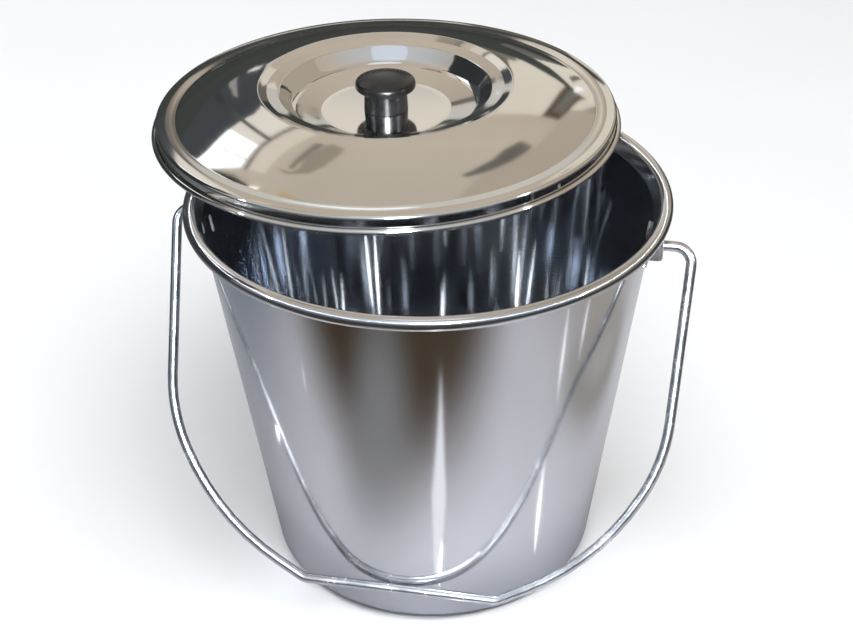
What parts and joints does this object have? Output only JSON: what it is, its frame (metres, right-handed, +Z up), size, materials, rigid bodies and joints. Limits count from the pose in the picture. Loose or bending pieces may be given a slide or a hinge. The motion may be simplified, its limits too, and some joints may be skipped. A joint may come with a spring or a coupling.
{
  "type": "lidded pail",
  "caption": "Tapered stainless-steel milking pail with a rolled rim, a swinging wire bail and a loose domed lid with a black knob.",
  "frame": {"origin": "middle of the flat base, on the pail's axis", "axes": "+Z up; +X along the bail's hinge line; the bail hangs towards -Y at rest"},
  "size_m": [0.3647, 0.3911, 0.2906],
  "materials": {
    "satin_steel": "satin, polished stainless sheet",
    "polished_steel": "mirror polished stainless sheet",
    "wire_steel": "satin drawn stainless wire",
    "ear_steel": "dull pressed stainless plate",
    "weld_steel": "rough weld metal",
    "black_phenolic": "moulded black, soft gloss",
    "brass_insert": "turned",
    "plated_hardware": "bright stainless"
  },
  "bodies": {
    "pail": {"pail_shell": "satin_steel", "ear_right": "ear_steel", "ear_left": "ear_steel", "ear_weld_right": "weld_steel", "ear_weld_left": "weld_steel"},
    "bail": {"bail": "wire_steel"},
    "lid": {"lid": "polished_steel", "knob": "black_phenolic", "knob_insert": "brass_insert", "knob_washer": "plated_hardware", "knob_screw": "plated_hardware"}
  },
  "joints": [
    {"name": "bail_swing", "type": "hinge", "parent": "pail", "child": "bail", "pos_m": [0, 0, 0.2315], "axis": [-1, 0, 0], "range_deg": [0, 110]},
    {"name": "lid_lift", "type": "slide", "parent": "pail", "child": "lid", "axis": [0, 0, 1], "range_m": [0, 0.2]}
  ]
}
